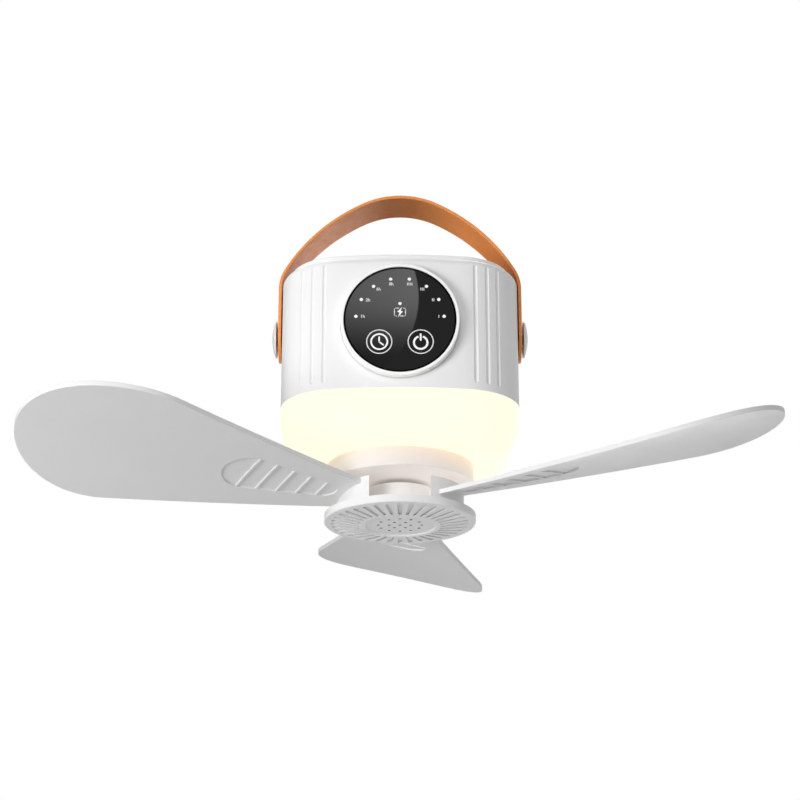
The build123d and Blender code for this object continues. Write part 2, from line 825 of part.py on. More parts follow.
with BuildPart() as stator_core:
    extrude(
        ring_plan(bearing_tube_radius + pivot_fit, stator_core_radius, z_stator),
        amount=stator_height,
    )
    with BuildSketch(Plane.XY.offset(z_stator)):
        with PolarLocations(tooth_root, stator_teeth):
            Rectangle(tooth_length, tooth_width, align=(Align.MIN, Align.CENTER))
        with BuildSketch(mode=Mode.PRIVATE) as tips:
            with PolarLocations(stator_radius, stator_teeth):
                Rectangle(2 * tooth_tip_thickness, tooth_tip_width)
            Circle(stator_radius, mode=Mode.INTERSECT)
        add(tips.sketch)
    extrude(amount=stator_height)
write(stator_core, "stator_core")

# One copper coil round each tooth
coil_inner = stator_core_radius + 0.5
coil_outer = stator_radius - tooth_tip_thickness - 0.5
with BuildPart() as stator_coils:
    for i in range(stator_teeth):
        turned = Plane.XY.offset(z_stator + stator_height / 2).rotated((0, 0, 360.0 / stator_teeth * i))
        side = Plane(origin=turned.origin, x_dir=turned.y_dir, z_dir=turned.x_dir)
        with BuildSketch(side.offset(coil_inner)):
            Rectangle(coil_width, stator_height + 2 * coil_overhang)
            Rectangle(
                tooth_width + 2 * coil_fit, stator_height + 2 * coil_fit, mode=Mode.SUBTRACT
            )
        extrude(amount=coil_outer - coil_inner)
write(stator_coils, "stator_coils")

# ---------------------------------------------------------------- motor rotor
magnet_inner = stator_radius + air_gap
magnet_outer = magnet_inner + magnet_thickness
bell_inner = magnet_outer + pivot_fit
bell_outer = bell_inner + bell_wall
z_bell_low = z_stator - bell_skirt_overlap
z_bell_top = z_tube + 1.0 + bell_top_thickness

with BuildPart() as motor_bell:
    bell_bore = shaft_radius + shaft_fit
    extrude(ring_plan(bell_inner, bell_outer, z_bell_low), amount=z_bell_top - z_bell_low)
    extrude(ring_plan(bell_bore, bell_outer, z_bell_top), amount=-bell_top_thickness)
    extrude(ring_plan(bell_bore, bell_hub_radius, z_bell_top), amount=bell_hub_height)
write(motor_bell, "motor_bell")

with BuildPart() as magnet_ring:
    extrude(ring_plan(magnet_inner, magnet_outer, z_stator - 0.5), amount=stator_height + 1.0)
write(magnet_ring, "magnet_ring")

z_nut = z_hub_plate + hub_nut_recess
with BuildPart() as motor_shaft:
    with BuildSketch(Plane.XY.offset(z_nut - hub_nut_height - 0.8)):
        Circle(shaft_radius)
    extrude(amount=z_bell_top + bell_hub_height - z_nut + hub_nut_height + 0.8)
write(motor_shaft, "motor_shaft")

# ---------------------------------------------------------------- blade hub
shoe_mid_radius = (shoe_inner_radius + shoe_outer_radius) / 2
shoe_screw_spots = [
    (shoe_mid_radius * cos(radians(a + s)), shoe_mid_radius * sin(radians(a + s)))
    for a in blade_angles
    for s in (shoe_screw_angle, -shoe_screw_angle)
]

# Plate and hollow boss; the centre column clamps on the shaft
with BuildPart() as blade_hub:
    hub_bore = shaft_radius + shaft_fit
    extrude(ring_plan(hub_bore, hub_plate_radius, z_hub_plate), amount=hub_plate_thickness)
    extrude(ring_plan(hub_bore, hub_boss_radius, z_disc), amount=hub_height)
    boss_edge = blade_hub.edges().filter_by(GeomType.CIRCLE).group_by(Axis.Z)[-1]
    fillet(boss_edge.sort_by(SortBy.RADIUS)[-1], hub_boss_edge)
    extrude(
        ring_plan(hub_column_radius, hub_boss_radius - hub_boss_wall, z_hub_plate),
        amount=z_hub - hub_boss_wall - z_hub_plate,
        mode=Mode.SUBTRACT,
    )
    with BuildSketch(Plane.XY.offset(z_hub_plate)):
        Circle(hub_column_radius)
        Circle(shaft_radius, mode=Mode.SUBTRACT)
    extrude(amount=hub_nut_recess, mode=Mode.SUBTRACT)
    with Locations(*[Location((x, y, z_hub_plate), (180, 0, 0)) for x, y in shoe_screw_spots]):
        CounterSinkHole(
            radius=shoe_screw_hole_radius + 0.05,
            counter_sink_radius=blade_screw_head_radius + 0.1,
            depth=hub_plate_thickness,
            counter_sink_angle=90,
        )
write(blade_hub, "blade_hub")

with BuildPart() as hub_nut:
    with BuildSketch(Plane.XY.offset(z_nut - hub_nut_height)):
        RegularPolygon(hub_nut_width / 2, 6, major_radius=False)
        Circle(shaft_radius + shaft_fit, mode=Mode.SUBTRACT)
    extrude(amount=hub_nut_height)
write(hub_nut, "hub_nut")

# Countersunk screws up through the plate into the blades' shoes
with BuildPart() as blade_screws:
    cone_height = blade_screw_head_radius - blade_screw_radius
    with Locations(*[(x, y, z_hub_plate) for x, y in shoe_screw_spots]):
        Cone(
            blade_screw_head_radius,
            blade_screw_radius,
            cone_height,
            align=(Align.CENTER, Align.CENTER, Align.MIN),
        )
        Cylinder(
            blade_screw_radius, blade_screw_length, align=(Align.CENTER, Align.CENTER, Align.MIN)
        )
write(blade_screws, "blade_screws")

# ---------------------------------------------------------------- hub cap
# Shallow dome under the hub with a grooved ring, a sunk centre plate and a vent rose
z_ring = z_rim - cap_dome_drop
z_cap_plate = z_ring + cap_plate_recess
dome_run = cap_radius - cap_edge_chamfer - cap_ring_radius

# Tapered, round-ended groove, square to the dome's slope
with BuildPart() as groove_tool:
    dome_line = Plane(
        origin=(cap_ring_radius, 0, z_ring), x_dir=(dome_run, 0, cap_dome_drop), z_dir=(0, -1, 0)
    )
    with BuildSketch(Plane(origin=dome_line.origin, x_dir=dome_line.x_dir, z_dir=dome_line.y_dir)):
        with Locations((cap_groove_inner_reach - cap_ring_radius, 0)):
            Circle(cap_groove_inner_radius)
        with Locations((cap_groove_outer_reach - cap_ring_radius, 0)):
            Circle(cap_groove_outer_radius)
        make_hull()
    extrude(amount=cap_groove_depth, both=True)

with BuildPart() as hub_cap:
    with BuildSketch(Plane.XZ):
        with BuildLine():
            Polyline(
                (hub_plate_radius + fit_gap, z_disc),
                (cap_radius, z_disc),
                (cap_radius, z_rim + cap_edge_chamfer),
                (cap_radius - cap_edge_chamfer, z_rim),
                (cap_ring_radius, z_ring),
                (cap_plate_radius + cap_plate_recess, z_ring),
                (cap_plate_radius, z_cap_plate),
                (0, z_cap_plate),
                (0, z_cap_plate + cap_wall),
                (cap_plate_radius - cap_wall / 2, z_cap_plate + cap_wall),
                (cap_ring_radius, z_ring + cap_wall),
                (cap_shelf_radius, z_rim + cap_wall - 0.3),
                (cap_shelf_radius, z_hub_plate),
                (hub_plate_radius + fit_gap, z_hub_plate),
                close=True,
            )
        make_face()
    revolve(axis=Axis.Z)
    with PolarLocations(0, cap_groove_count):
        add(groove_tool.part, mode=Mode.SUBTRACT)
    with BuildSketch(Plane.XY.offset(z_cap_plate)):
        Circle(vent_hole_radius)
        for radius, count, start in vent_hole_rings:
            with PolarLocations(radius, count, start_angle=start):
                Circle(vent_hole_radius)
    extrude(amount=cap_wall, mode=Mode.SUBTRACT)
write(hub_cap, "hub_cap")

# ---------------------------------------------------------------- blades
# Each blade is a cambered, pitched slab on a rising arc, cut to a tear-shaped plan, and
# moulded in one with the arc-shaped shoe that screws onto the hub plate.
blade_flat_reach = blade_root_radius - blade_rise_radius * sin(radians(blade_root_slope))
z_blade_root = z_disc + blade_root_height
z_blade_flat = z_blade_root - blade_rise_radius * (1 - cos(radians(blade_root_slope)))
tip_centre = fan_radius - blade_tip_radius
sweep_turn = degrees(asin((fan_radius + 10.0 - blade_flat_reach) / blade_rise_radius))
band_half_width = blade_tip_radius + 8.0
rise_axis = Axis((blade_flat_reach, 0, z_blade_flat + blade_rise_radius), (0, -1, 0))


def blade_section(low, high):
    """Sketches the cambered, pitched section between two distances from the blade's mid surface."""
    section = Plane(
        origin=(blade_flat_reach, 0, z_blade_flat),
        x_dir=(0, cos(radians(blade_pitch)), sin(radians(blade_pitch))),
        z_dir=(1, 0, 0),
    )
    spread = asin(band_half_width / blade_camber_radius)
    with BuildSketch(section) as band:
        with BuildLine():
            ends = []
            for level in (low, high):
                radius = blade_camber_radius + level
                side = (radius * sin(spread), radius * cos(spread) - blade_camber_radius)
                ThreePointArc((-side[0], side[1]), (0, level), side)
                ends.append(side)
            Line(ends[0], ends[1])
            Line((-ends[0][0], ends[0][1]), (-ends[1][0], ends[1][1]))
        make_face()
    return band.sketch


def teardrop(reach, radius, heel_reach, heel_radius):
    """Sketches the hull of a large outer circle and a small inner one, along the blade's axis."""
    with Locations((reach, 0)):
        Circle(radius)
    with Locations((heel_reach, 0)):
        Circle(heel_radius)
    make_hull()


def shoe_plan():
    """Sketches the part of a ring on the hub plate between two lines that spread outward."""
    spread = tan(radians(shoe_wedge_angle))
    end = shoe_wedge_reach + shoe_outer_radius
    with BuildSketch(Plane.XY.offset(z_disc)) as plan:
        Circle(shoe_outer_radius)
        Circle(shoe_inner_radius, mode=Mode.SUBTRACT)
        with BuildSketch(mode=Mode.PRIVATE) as wedge:
            Polygon(
                (shoe_wedge_reach, 0),
                (end, spread * shoe_outer_radius),
                (end, -spread * shoe_outer_radius),
                align=None,
            )
        add(wedge.sketch, mode=Mode.INTERSECT)
    return plan.sketch


with BuildPart() as recess_tool:
    recess_section = blade_section(-blade_thickness / 2 - 0.5, -blade_thickness / 2 + recess_depth)
    revolve(recess_section, axis=rise_axis, revolution_arc=sweep_turn)
    with BuildSketch(Plane.XY.offset(z_blade_flat - 40)):
        teardrop(recess_outer_reach, recess_outer_radius, recess_inner_reach, recess_inner_radius)
        for i in range(rib_count):
            with Locations((rib_first_reach + i * rib_spacing, 0)):
                Rectangle(rib_width, 4 * recess_outer_radius, mode=Mode.SUBTRACT)
    extrude(amount=100, mode=Mode.INTERSECT)

with BuildPart() as blade_form:
    slab_section = blade_section(-blade_thickness / 2, blade_thickness / 2)
    revolve(slab_section, axis=rise_axis, revolution_arc=sweep_turn)
    with BuildSketch(Plane.XY.offset(z_blade_flat - 40)):
        teardrop(tip_centre, blade_tip_radius, blade_heel_reach, blade_heel_radius)
        Circle(blade_start_radius, mode=Mode.SUBTRACT)
    extrude(amount=100, mode=Mode.INTERSECT)
    extrude(shoe_plan(), amount=hub_height)
    add(recess_tool.part, mode=Mode.SUBTRACT)
    with Locations((0, 0, z_disc)):
        with PolarLocations(
            shoe_mid_radius, 2, start_angle=-shoe_screw_angle, angular_range=4 * shoe_screw_angle
        ):
            Cylinder(
                shoe_screw_hole_radius,
                shoe_screw_depth,
                align=(Align.CENTER, Align.CENTER, Align.MIN),
                mode=Mode.SUBTRACT,
            )

for number, angle in enumerate(blade_angles, 1):
    with BuildPart() as fan_blade:
        add(blade_form.part.rotate(Axis.Z, angle))
    write(fan_blade, f"fan_blade_{number}")

print("strap flank radius", round(strap_flank_radius, 1))
print("pivot", round(z_pivot, 2), "top", round(z_top, 2), "seam", round(z_seam, 2))
print("collar", round(z_collar, 2), "disc", round(z_disc, 2), "rim", round(z_rim, 2))
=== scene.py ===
import bpy
import bmesh
import math
from mathutils import Matrix, Vector


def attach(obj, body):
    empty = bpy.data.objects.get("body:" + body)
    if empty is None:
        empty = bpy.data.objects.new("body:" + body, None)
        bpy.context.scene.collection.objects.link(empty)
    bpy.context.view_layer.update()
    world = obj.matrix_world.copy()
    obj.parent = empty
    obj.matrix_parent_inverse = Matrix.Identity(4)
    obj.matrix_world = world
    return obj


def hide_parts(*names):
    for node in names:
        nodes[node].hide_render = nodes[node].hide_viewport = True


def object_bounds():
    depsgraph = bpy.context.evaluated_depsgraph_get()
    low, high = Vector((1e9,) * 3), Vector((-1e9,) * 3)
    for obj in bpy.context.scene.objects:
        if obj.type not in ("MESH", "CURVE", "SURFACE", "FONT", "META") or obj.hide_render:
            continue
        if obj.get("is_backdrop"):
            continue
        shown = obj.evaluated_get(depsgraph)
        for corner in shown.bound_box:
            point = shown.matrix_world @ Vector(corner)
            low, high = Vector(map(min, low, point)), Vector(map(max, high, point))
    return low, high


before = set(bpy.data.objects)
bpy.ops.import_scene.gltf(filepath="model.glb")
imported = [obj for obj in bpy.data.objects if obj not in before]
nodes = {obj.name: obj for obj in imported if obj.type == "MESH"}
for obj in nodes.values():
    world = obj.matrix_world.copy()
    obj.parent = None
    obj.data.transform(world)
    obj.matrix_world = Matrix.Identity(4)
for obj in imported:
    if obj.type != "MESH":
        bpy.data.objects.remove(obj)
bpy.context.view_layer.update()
MM = 0.001

# Sizes and places of the CAD that the looks follow, in the row frame
STRAP_WIDTH = 24.5 * MM
STRAP_THICKNESS = 1.6 * MM
STRAP_ARCS = (  # radius, turn in degrees, steps: from the crown to the leg
    (43.0 * MM, 26.0, 16),
    (92.97 * MM, 34.0, 20),
    (20.0 * MM, 30.0, 14),
)
LEG_X = 61.3 * MM
PIVOT_Z = -74.45 * MM
PIN_HOLE_R = 2.85 * MM
PANEL_Z = -81.71 * MM
PANEL_Y = -46.95 * MM
GLASS_R = 27.75 * MM
COLLAR_BOTTOM, COLLAR_TOP = -153.55 * MM, -143.95 * MM
HUB_BOTTOM, HUB_TOP = -169.0 * MM, -156.1 * MM

# ---------------------------------------------------------------- materials
NOISE_LOW, NOISE_HIGH = 0.3, 0.7  # the band that most of a noise texture's values lie in
FINE_BUMP = 0.04 * MM


class Tree:
    """A node tree with short helpers."""

    def __init__(self, tree):
        self.tree = tree

    def new(self, kind, **values):
        node = self.tree.nodes.new(kind)
        for key, value in values.items():
            setattr(node, key, value)
        return node

    def link(self, a, b):
        self.tree.links.new(a, b)

    def feed(self, target, value):
        """Link an output to an input, or set a number or a colour on it."""
        if hasattr(value, "links"):
            self.link(value, target)
        elif hasattr(value, "__len__"):
            target.default_value = (*value[:3], 1.0)
        else:
            target.default_value = value

    def join(self, kind, *values):
        """A node fed in the order of its inputs; gives its first output."""
        node = self.new(kind)
        for target, value in zip(node.inputs, values):
            self.feed(target, value)
        return node.outputs[0]

    def math(self, op, a, b=None):
        node = self.new("ShaderNodeMath", operation=op)
        for target, value in zip(node.inputs, (a, b)):
            if value is not None:
                self.feed(target, value)
        return node.outputs[0]

    def room_rays(self):
        """1 for the rays that see the room's white: camera, transmission and glossy rays."""
        rays = self.new("ShaderNodeLightPath").outputs
        seen = self.math("MAXIMUM", rays["Is Camera Ray"], rays["Is Transmission Ray"])
        return self.math("MAXIMUM", seen, rays["Is Glossy Ray"])


class Mat(Tree):
    """A material. Its textures use object coordinates, which are the row frame on all pieces."""

    def __init__(self, name):
        self.mat = bpy.data.materials.new(name)
        self.mat.use_nodes = True
        super().__init__(self.mat.node_tree)
        self.bsdf = self.tree.nodes["Principled BSDF"]
        self.coord = self.new("ShaderNodeTexCoord").outputs["Object"]
        self.split = None

    def set(self, **values):
        """Feed inputs of the Principled shader, with _ for the spaces in their names."""
        for key, value in values.items():
            self.feed(self.bsdf.inputs[key.replace("_", " ")], value)

    def surface(self, shader):
        """Use another shader in place of the Principled one."""
        self.tree.nodes.remove(self.bsdf)
        self.link(shader, self.tree.nodes["Material Output"].inputs["Surface"])

    def axis(self, index):
        """One of the three object coordinates."""
        if self.split is None:
            self.split = self.new("ShaderNodeSeparateXYZ")
            self.link(self.coord, self.split.inputs[0])
        return self.split.outputs[index]

    def noise(self, scale, detail=3.0, rough=0.55):
        node = self.new("ShaderNodeTexNoise")
        node.inputs["Scale"].default_value = scale
        node.inputs["Detail"].default_value = detail
        node.inputs["Roughness"].default_value = rough
        self.link(self.coord, node.inputs["Vector"])
        return node.outputs["Fac"]

    def ramp(self, fac, stops):
        node = self.new("ShaderNodeValToRGB")
        elements = node.color_ramp.elements
        while len(elements) < len(stops):
            elements.new(0.5)
        for element, (position, colour) in zip(elements, stops):
            element.position = position
            if not hasattr(colour, "__len__"):
                colour = (colour, colour, colour)
            element.color = (*colour[:3], 1.0)
        self.link(fac, node.inputs["Fac"])
        return node.outputs["Color"]

    def range(self, value, low, high, to_low, to_high, easing="LINEAR"):
        node = self.new("ShaderNodeMapRange", interpolation_type=easing)
        node.inputs["From Min"].default_value = low
        node.inputs["From Max"].default_value = high
        node.inputs["To Min"].default_value = to_low
        node.inputs["To Max"].default_value = to_high
        self.link(value, node.inputs["Value"])
        return node.outputs["Result"]

    def mix(self, fac, a, b, blend="MIX"):
        node = self.new("ShaderNodeMix", data_type="RGBA", blend_type=blend)
        for index, value in ((0, fac), (6, a), (7, b)):  # the factor and the two colour inputs
            self.feed(node.inputs[index], value)
        return node.outputs[2]

    def drift(self, scale, dark, light, detail=3.0):
        """A tone that drifts between two, with noise."""
        return self.ramp(self.noise(scale, detail), ((NOISE_LOW, dark), (NOISE_HIGH, light)))

    def uneven(self, scale, low, high, detail=3.0):
        """Roughness that drifts between two values, with noise."""
        noise = self.noise(scale, detail)
        self.set(Roughness=self.range(noise, NOISE_LOW, NOISE_HIGH, low, high))

    def length(self, vector):
        node = self.new("ShaderNodeVectorMath", operation="LENGTH")
        self.link(vector, node.inputs[0])
        return node.outputs["Value"]

    def reach(self):
        """Distance from the fan's axis."""
        return self.length(self.join("ShaderNodeCombineXYZ", self.axis(0), self.axis(1)))

    def shade(self, distance):
        """Ambient occlusion: 1 in the open, lower in grooves and holes. Multiplied into a base
        colour, it paints shade.
        """
        node = self.new("ShaderNodeAmbientOcclusion", samples=8)
        node.inputs["Distance"].default_value = distance
        return node.outputs["AO"]

    def tint(self, factor):
        """Multiply the base colour that is already set."""
        tone = self.bsdf.inputs["Base Color"].links[0].from_socket
        self.set(Base_Color=self.mix(1.0, tone, factor, "MULTIPLY"))

    def soft_edges(self, radius):
        """A rounded-edge normal, for shading only."""
        node = self.new("ShaderNodeBevel", samples=6)
        node.inputs["Radius"].default_value = radius
        return node.outputs["Normal"]

    def bump(self, height, strength, distance=FINE_BUMP, normal=None):
        node = self.new("ShaderNodeBump")
        node.inputs["Strength"].default_value = strength
        node.inputs["Distance"].default_value = distance
        self.link(height, node.inputs["Height"])
        if normal:
            self.link(normal, node.inputs["Normal"])
        self.set(Normal=node.outputs["Normal"])


def moulded_plastic(name, colour, rough=0.42, grain=0.04, edge=0.35 * MM):
    """Moulded plastic: a faint tone drift, fine mould grain and uneven gloss."""
    m = Mat(name)
    darker = tuple(c * 0.975 for c in colour)
    m.set(Base_Color=m.drift(14.0, darker, colour, detail=2.0))
    m.uneven(90.0, rough - 0.04, rough + 0.05)
    m.bump(m.noise(2600.0, 2.0, 0.6), grain, normal=m.soft_edges(edge))
    return m


def white_plastic(name, tone, **finish):
    return moulded_plastic(name, (tone, tone, tone), **finish)


def metal(name, dark, light, rough, polish=(300.0, 1200.0)):
    """Plain metal with fine, uneven polish."""
    m = Mat(name)
    m.set(Metallic=1.0, Base_Color=m.drift(polish[0], dark, light))
    m.uneven(polish[1], rough - 0.06, rough + 0.08)
    return m


# White plastic, in tones that follow the photo piece by piece
# The tones of this one white plastic differ from piece to piece as painted light and shade: pieces
# that catch more light are lighter.
white = white_plastic("white_plastic", 0.86)
# Painted highlight: the bezel is a lighter, glossier copy of the white plastic, for the light that
# its rim catches.
bezel_white_painted_highlight = white_plastic("bezel_plastic_painted_highlight", 0.97, rough=0.3, grain=0.02, edge=0.2 * MM)
# Painted light: the top cover is a lighter copy of the white plastic, for the light from above on
# the lid.
cover_white_painted_light = white_plastic("cover_plastic_painted_light", 0.90, edge=0.25 * MM)

shell_white = white_plastic("shell_plastic", 0.87)
# Painted shade: the shell's base colour is darkened in its flutes and other hollows, by ambient
# occlusion.
shell_white.tint(shell_white.ramp(shell_white.shade(0.9 * MM), ((0.45, 0.72), (0.90, 1.0))))

# Painted shade: ambient occlusion darkens the cap's base colour, much more in the vent holes
# inside its sunk plate than in its radial grooves
cap_white = white_plastic("cap_plastic", 0.86, grain=0.02, edge=0.12 * MM)
cap_painted_shade = cap_white.shade(2.4 * MM)
cap_white.tint(
    cap_white.mix(
        cap_white.range(cap_white.reach(), 12.5 * MM, 15.0 * MM, 0.0, 1.0),
        cap_white.ramp(cap_painted_shade, ((0.38, 0.04), (0.78, 0.80), (0.92, 1.0))),
        cap_white.ramp(cap_painted_shade, ((0.25, 0.70), (0.60, 0.93), (0.80, 1.0))),
    )
)

blade_white = white_plastic("blade_plastic", 0.83, rough=0.46, grain=0.03, edge=0.3 * MM)
blade_white.set(Specular_IOR_Level=0.15)
# Painted light: the blades are up to 5% lighter near their roots, within 30 mm of the axis, fading
# out by 44 mm.
blade_white.tint(blade_white.range(blade_white.reach(), 30.0 * MM, 44.0 * MM, 1.05, 1.0))

# Motor housing: white plastic with painted light. Its warm glow stands in for the lamp light
# falling on it, and is stronger toward the diffuser and toward +X; near the hub's boss it is
# darker and glows less, which is painted shade.
collar_white = moulded_plastic("collar_plastic", (0.57, 0.56, 0.55))
collar_gap_painted_shade = collar_white.range(collar_white.reach(), 11.5 * MM, 17.0 * MM, 0.50, 1.0)
collar_side_painted_light = collar_white.range(collar_white.axis(0), -30.0 * MM, 30.0 * MM, 0.85, 1.2)
collar_white.tint(collar_gap_painted_shade)
collar_white.set(
    Emission_Color=collar_white.ramp(
        collar_white.range(collar_white.axis(2), COLLAR_BOTTOM, COLLAR_TOP, 0.0, 1.0),
        (
            (0.0, (0.34, 0.305, 0.285)),
            (0.06, (0.31, 0.255, 0.225)),
            (0.6, (0.37, 0.27, 0.20)),
            (0.9, (0.43, 0.285, 0.185)),
            (1.0, (0.60, 0.32, 0.12)),
        ),
    ),
    Emission_Strength=collar_white.math("MULTIPLY", collar_side_painted_light, collar_gap_painted_shade),
)

# Blade hub: the same plastic. Its emission stands in for the lamp light that comes down round
# the motor, and is stronger toward +X, as in the photo. It turns with the rotor.
hub_white = moulded_plastic("hub_plastic", (0.80, 0.79, 0.78))
hub_white.set(
    Emission_Color=hub_white.ramp(
        hub_white.range(hub_white.axis(2), HUB_BOTTOM, HUB_TOP, 0.0, 1.0),
        ((0.0, 0.0), (0.04, (0.10, 0.097, 0.094)), (1.0, (0.14, 0.130, 0.120))),
    ),
    Emission_Strength=hub_white.range(hub_white.axis(0), 6.0 * MM, 18.0 * MM, 1.0, 2.9),
)

# Lit diffuser: warm milky plastic that glows from inside
glow = Mat("diffuser_plastic")
glow.set(
    Base_Color=glow.drift(25.0, (0.14, 0.137, 0.105), (0.16, 0.157, 0.125)),
    Specular_IOR_Level=0.25,
    Emission_Color=glow.drift(18.0, (0.99, 0.985, 0.765), (1.0, 1.0, 0.785)),
    Emission_Strength=0.93,
)
glow.uneven(200.0, 0.50, 0.60)
glow.bump(glow.noise(2400.0, 2.0), 0.03)

# Black touch panel: its clear gloss ends just inside the rim
glass = Mat("panel_black")
above_centre = glass.math("SUBTRACT", glass.axis(2), PANEL_Z)
from_centre = glass.length(glass.join("ShaderNodeCombineXYZ", glass.axis(0), above_centre))
glass.set(
    Base_Color=glass.drift(20.0, 0.0015, 0.0025),
    Specular_IOR_Level=glass.range(from_centre, 26.75 * MM, 26.95 * MM, 0.2, 0.0),
)
glass.uneven(60.0, 0.008, 0.014)


def panel_ink(name, dark, light, shine):
    """Print on the panel, with a faint back light."""
    m = Mat(name)
    m.set(
        Base_Color=m.drift(400.0, dark, light),
        Emission_Color=(1, 1, 1),
        Emission_Strength=shine,
    )
    m.uneven(500.0, 0.3, 0.4)
    return m


mark = panel_ink("panel_marks", 0.86, 0.92, 0.10)
ring_mark = panel_ink("panel_rings", 0.66, 0.72, 0.08)

# Smooth tan leather with fine pores and a mottled dye. Painted shade darkens it toward the crown,
# where it also has less gloss; its edges are lighter, from burnish and a painted highlight
leather = Mat("strap_leather")
cells = leather.new("ShaderNodeTexVoronoi", feature="DISTANCE_TO_EDGE")
cells.inputs["Scale"].default_value = 900.0
leather.link(leather.coord, cells.inputs["Vector"])
pores = leather.range(cells.outputs["Distance"], 0.0, 0.28, 0.86, 1.0)
beside = leather.math("ABSOLUTE", leather.axis(1))
edge_burnish_and_highlight = leather.range(beside, 11.7 * MM, 12.1 * MM, 0.0, 1.0)
from_crown = leather.math("ABSOLUTE", leather.axis(0))
painted_crown_shade = leather.range(from_crown, 6.0 * MM, 34.0 * MM, 0.0, 1.0)
mottle = leather.noise(55.0, 4.0, 0.6)
dye_and_painted_shade = leather.ramp(mottle, ((0.28, (0.755, 0.265, 0.064)), (0.72, (0.85, 0.302, 0.079))))
dye_and_painted_shade = leather.mix(1.0, dye_and_painted_shade, leather.ramp(painted_crown_shade, ((0.0, 0.50), (1.0, 1.0))), "MULTIPLY")
dye_and_painted_shade = leather.mix(edge_burnish_and_highlight, dye_and_painted_shade, (0.88, 0.32, 0.09))
leather.set(
    Base_Color=leather.mix(1.0, dye_and_painted_shade, pores, "MULTIPLY"),
    Specular_IOR_Level=leather.range(painted_crown_shade, 0.0, 1.0, 0.10, 0.36),
)
leather.uneven(300.0, 0.44, 0.60, detail=4.0)
grain = leather.math("ADD", leather.math("MULTIPLY", pores, 0.7), leather.noise(2200.0))
leather.bump(grain, 0.25, 2 * FINE_BUMP)

# Metals and inner pieces
pin_steel = metal("pin_steel", 0.10, 0.16, 0.34, polish=(260.0, 900.0))
zinc = metal("zinc_steel", (0.55, 0.56, 0.58), (0.68, 0.69, 0.71), 0.3)
lamination = metal("lamination_steel", (0.22, 0.22, 0.24), (0.32, 0.32, 0.34), 0.45)
copper = metal("enamelled_copper", (0.62, 0.26, 0.12), (0.8, 0.38, 0.18), 0.3)
magnet = moulded_plastic("magnet", (0.07, 0.07, 0.075), 0.5)
board_green = moulded_plastic("circuit_board", (0.03, 0.2, 0.09), 0.35)
cell_wrap = moulded_plastic("cell_wrap", (0.06, 0.2, 0.5), 0.3)
led_body = moulded_plastic("led_body", (0.9, 0.82, 0.5), 0.25)
clear = Mat("clear_plastic")
clear.set(
    Transmission_Weight=1.0,
    IOR=1.49,
    Base_Color=clear.drift(30.0, (0.93, 0.95, 0.96), (0.97, 0.98, 0.99)),
)
clear.uneven(400.0, 0.04, 0.09)

for material, names in (
    (white, ("pivot_caps", "battery_cradle", "light_plate")),
    (shell_white, ("housing_shell",)),
    (cover_white_painted_light, ("top_cover",)),
    (cap_white, ("hub_cap",)),
    (bezel_white_painted_highlight, ("panel_bezel",)),
    (collar_white, ("motor_housing",)),
    (hub_white, ("blade_hub",)),
    (blade_white, ("fan_blade_1", "fan_blade_2", "fan_blade_3")),
    (pin_steel, ("pivot_pins",)),
    (zinc, ("pivot_nuts", "plate_screws", "motor_screws", "blade_screws", "hub_nut")),
    (zinc, ("shaft_bearings", "motor_bell", "motor_shaft", "usb_socket")),
    (lamination, ("stator_core",)),
    (copper, ("stator_coils",)),
    (magnet, ("magnet_ring",)),
    (board_green, ("touch_board", "control_board", "led_board")),
    (cell_wrap, ("battery_cells",)),
    (led_body, ("led_chips", "indicator_leds")),
    (clear, ("light_guide",)),
    (glow, ("diffuser",)),
    (glass, ("panel_glass",)),
    (leather, ("handle_strap",)),
):
    for name in names:
        slots = nodes[name].data.materials
        slots.clear()
        slots.append(material.mat)


# ---------------------------------------------------------------- helpers for new objects
def add_object(name, data, place=(0, 0, 0), turn=(0, 0, 0)):
    obj = bpy.data.objects.new(name, data)
    obj.location = place
    obj.rotation_euler = turn
    bpy.context.scene.collection.objects.link(obj)
    return obj


def add_piece(name, mesh, material, body):
    mesh.materials.clear()
    mesh.materials.append(material.mat)
    piece = add_object(name, mesh)
    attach(piece, body)
    return piece


def add_mesh(name, verts, faces, material, body, smooth=True):
    mesh = bpy.data.meshes.new(name)
    mesh.from_pydata(verts, [], faces)
    mesh.validate()
    for polygon in mesh.polygons:
        polygon.use_smooth = smooth
    return add_piece(name, mesh, material, body)


def flat_mesh(name, create, **shape):
    """A mesh that one bmesh operator creates."""
    mesh = bpy.data.meshes.new(name)
    bm = bmesh.new()
    create(bm, **shape)
    bm.to_mesh(mesh)
    bm.free()
    return mesh


# ---------------------------------------------------------------- strap handle
HALF_WIDTH = STRAP_WIDTH / 2
PATCH_TOP = PIVOT_Z + HALF_WIDTH  # where a leg's run ends and the round patch round its pin begins
ACROSS = 10  # faces across the strap
LEG_STEPS = 4
PATCH_RINGS = 4
PATCH_SIDE_STEPS = 5
PATCH_ROUND_STEPS = 20


def strap_line():
    """Points (x, z) along half the strap's mid line, from the crown to the leg's patch."""
    points = []
    x, z, heading = 0.0, STRAP_THICKNESS / 2, 0.0
    for radius, turn, steps in STRAP_ARCS:
        start = math.radians(heading)
        arc_points = []
        for i in range(steps + 1):
            now = math.radians(heading + turn * i / steps)
            along = radius * (math.sin(now) - math.sin(start))
            down = radius * (math.cos(start) - math.cos(now))
            arc_points.append((x + along, z - down))
        *inner, (x, z) = arc_points
        points += inner
        heading += turn
    points += [(LEG_X, z + (PATCH_TOP - z) * i / LEG_STEPS) for i in range(LEG_STEPS)]
    return points


